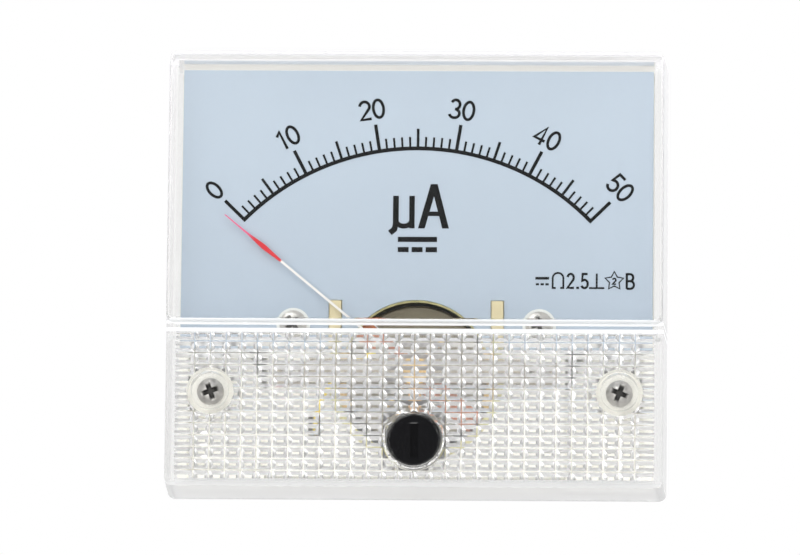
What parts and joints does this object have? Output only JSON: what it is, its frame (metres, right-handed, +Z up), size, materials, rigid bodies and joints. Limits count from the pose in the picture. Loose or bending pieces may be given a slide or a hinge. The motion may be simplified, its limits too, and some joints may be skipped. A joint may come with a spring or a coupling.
{
  "type": "analog panel meter",
  "caption": "Moving-coil panel meter with a clear square-fronted cover, printed scale, zero adjuster and a stepped round barrel that goes through the panel.",
  "frame": {"origin": "on the barrel's axis, in the plane of the flange face that rests on the panel", "axes": "+X to the right seen from the front, +Y back along the barrel into the panel, +Z up"},
  "size_m": [0.064, 0.052, 0.0565],
  "materials": {
    "clear_plastic": "polished clear moulding",
    "cream_plastic": "satin moulding",
    "dial_blue": "matt print",
    "pale_plastic": "milky",
    "nickel": "nickel plate",
    "yellow_zinc": "yellow passivated",
    "magnet_grey": "ground",
    "brass": "satin",
    "copper_enamel": "enamelled copper wire",
    "bronze": "rolled strip",
    "aluminium": "thin sheet",
    "pointer_paint": "white with a red tip",
    "black_plastic": "glossy",
    "yellow_insulation": "insulation",
    "red_insulation": "insulation",
    "steel": "hardened"
  },
  "bodies": {
    "case": {"front_cover": "clear_plastic", "rear_case": "cream_plastic", "dial_plate": "dial_blue", "dial_washers": "pale_plastic", "dial_screws": "nickel", "case_screws": "nickel", "movement_frame": "cream_plastic", "frame_screws": "nickel", "yoke_ring": "yellow_zinc", "core_magnet": "magnet_grey", "core_spacers": "brass", "front_bridge": "brass", "front_bridge_screws": "nickel", "rear_bridge": "brass", "rear_bridge_screws": "nickel", "front_jewel_screw": "brass", "front_lock_nut": "brass", "rear_jewel_screw": "brass", "rear_lock_nut": "brass", "rear_spring_arm": "bronze", "terminal_studs": "brass", "terminal_washers": "nickel", "terminal_nuts": "nickel", "solder_lugs": "brass", "yellow_lead": "yellow_insulation", "red_lead": "red_insulation"},
    "moving_coil": {"coil_former": "aluminium", "coil_winding": "copper_enamel", "front_pivot": "steel", "rear_pivot": "steel", "pointer": "pointer_paint", "counterweights": "brass", "front_hairspring": "bronze", "rear_hairspring": "bronze"},
    "zero_lever": {"zero_lever": "bronze"},
    "zero_adjuster": {"zero_adjuster": "black_plastic"}
  },
  "joints": [
    {"name": "pointer_swing", "type": "hinge", "parent": "case", "child": "moving_coil", "pos_m": [0, -0.0083, -0.0097], "axis": [0, 1, 0], "range_deg": [0, 100], "stiffness_Nm_per_rad": 0.00002, "deforming": ["front_hairspring", "rear_hairspring"]},
    {"name": "zero_adjuster_turn", "type": "hinge", "parent": "case", "child": "zero_adjuster", "pos_m": [0, -0.0103, -0.0186], "axis": [0, 1, 0], "range_deg": [-30, 30]},
    {"name": "zero_lever_turn", "type": "hinge", "parent": "case", "child": "zero_lever", "pos_m": [0, -0.0082, -0.0097], "axis": [0, 1, 0], "range_deg": [-6.3, 6.3]}
  ],
  "couplings": [
    {"joint": "zero_lever_turn", "follows": "zero_adjuster_turn", "ratio": -0.2027}
  ]
}
